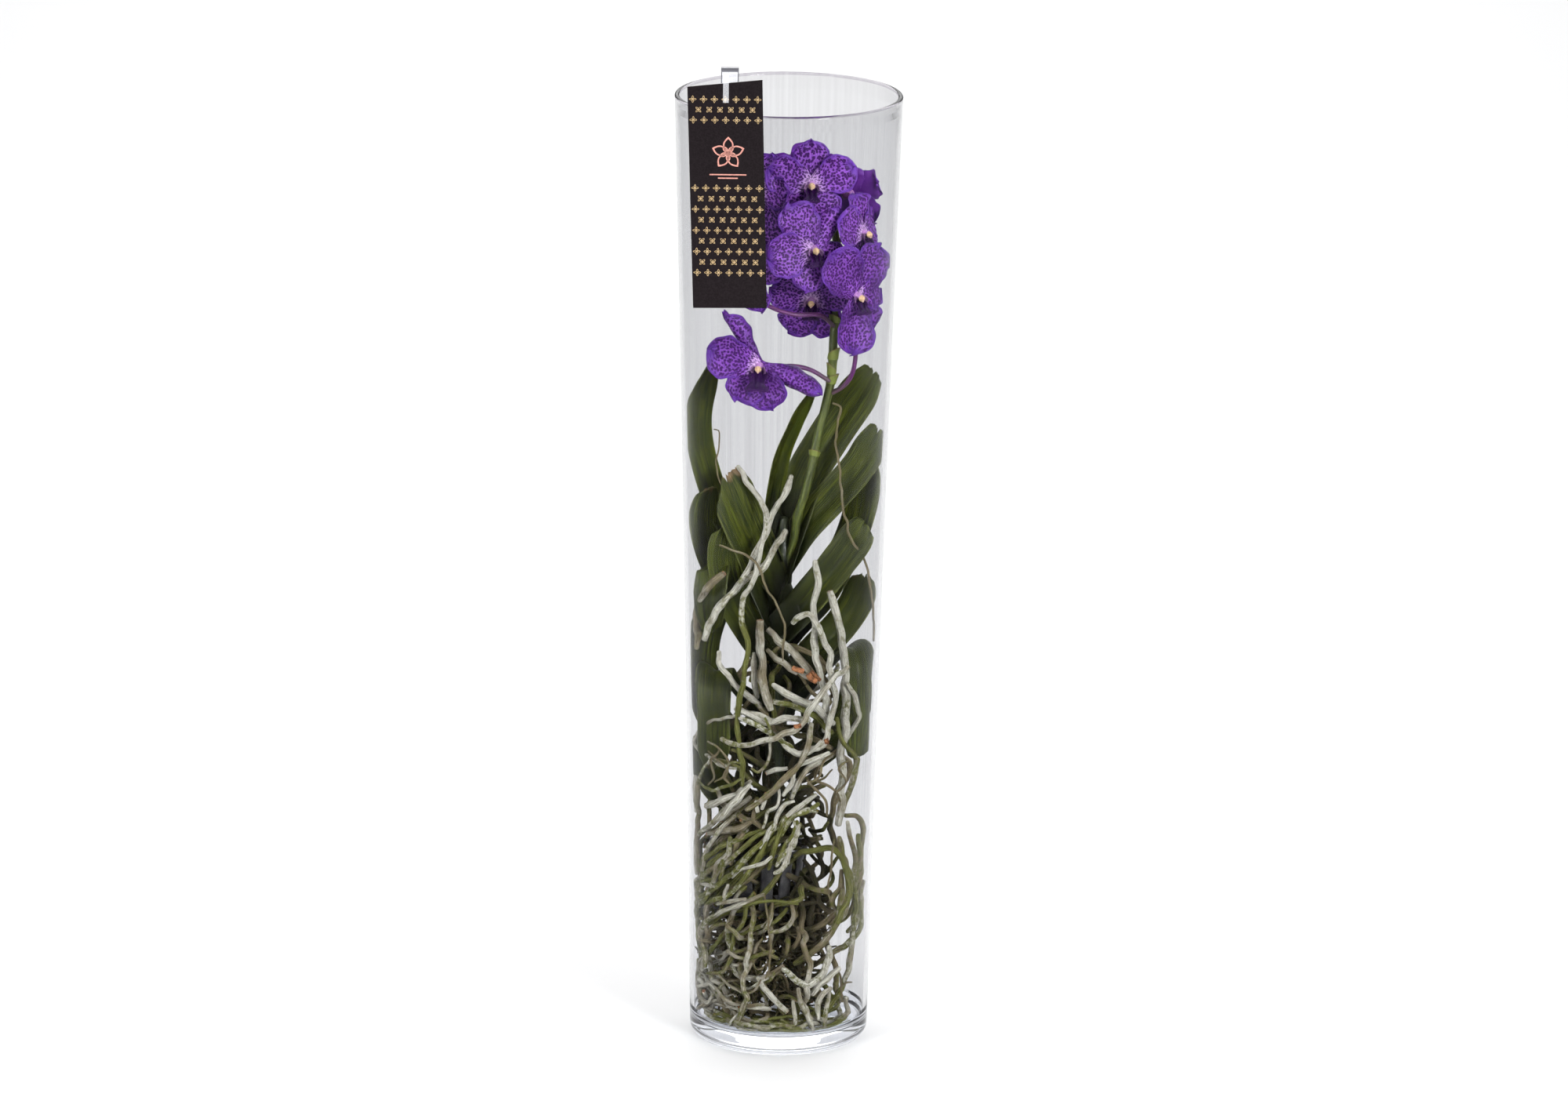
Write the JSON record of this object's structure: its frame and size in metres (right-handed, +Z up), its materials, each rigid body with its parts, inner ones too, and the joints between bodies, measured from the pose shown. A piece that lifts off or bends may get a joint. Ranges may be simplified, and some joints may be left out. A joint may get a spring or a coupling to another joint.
{
  "type": "vanda orchid in a glass vase",
  "caption": "Violet vanda orchid standing bare-rooted in a tall conical clear glass vase, with a plain black card tag clipped to the rim.",
  "frame": {"origin": "centre of the vase's flat underside", "axes": "+Z up the vase, +X to the right seen from the front, -Y to the front where the tag hangs"},
  "size_m": [0.1636, 0.168, 0.736],
  "materials": {
    "vase_glass": "clear, polished",
    "tag_card": null,
    "clip_plastic": "clear",
    "basket_plastic": "black, slightly dusty",
    "stem": "yellow-green living stem, stands for plant tissue",
    "leaf": "dark green leathery leaf, stands for plant tissue",
    "flower": "violet with darker tessellated spots, velvety, stands for petal tissue",
    "flower_stalk": "purple flower stalk, stands for plant tissue",
    "root": "silvery grey-green dry velamen, stands for plant tissue"
  },
  "bodies": {
    "root": {"vase": "vase_glass", "hang_tag": "tag_card", "tag_clip": "clip_plastic", "basket": "basket_plastic", "main_stem": "stem", "flower_spike": "stem", "leaf_01": "leaf", "leaf_02": "leaf", "leaf_03": "leaf", "leaf_04": "leaf", "leaf_05": "leaf", "leaf_06": "leaf", "leaf_07": "leaf", "leaf_08": "leaf", "leaf_09": "leaf", "leaf_10": "leaf", "leaf_11": "leaf", "leaf_12": "leaf", "leaf_13": "leaf", "leaf_14": "leaf", "leaf_15": "leaf", "leaf_16": "leaf", "flower_01": "flower", "flower_02": "flower", "flower_03": "flower", "flower_04": "flower", "flower_05": "flower", "flower_06": "flower", "flower_07": "flower", "flower_08": "flower", "flower_09": "flower", "flower_10": "flower", "pedicel_01": "flower_stalk", "pedicel_02": "flower_stalk", "pedicel_03": "flower_stalk", "pedicel_04": "flower_stalk", "pedicel_05": "flower_stalk", "pedicel_06": "flower_stalk", "pedicel_07": "flower_stalk", "pedicel_08": "flower_stalk", "pedicel_09": "flower_stalk", "pedicel_10": "flower_stalk", "root_crown": "root", "root_01": "root", "root_02": "root", "root_03": "root", "root_04": "root", "root_05": "root", "root_06": "root", "root_07": "root", "root_08": "root", "root_09": "root", "root_10": "root", "root_11": "root", "root_12": "root", "root_13": "root", "root_14": "root", "root_15": "root", "root_16": "root"}
  },
  "joints": []
}
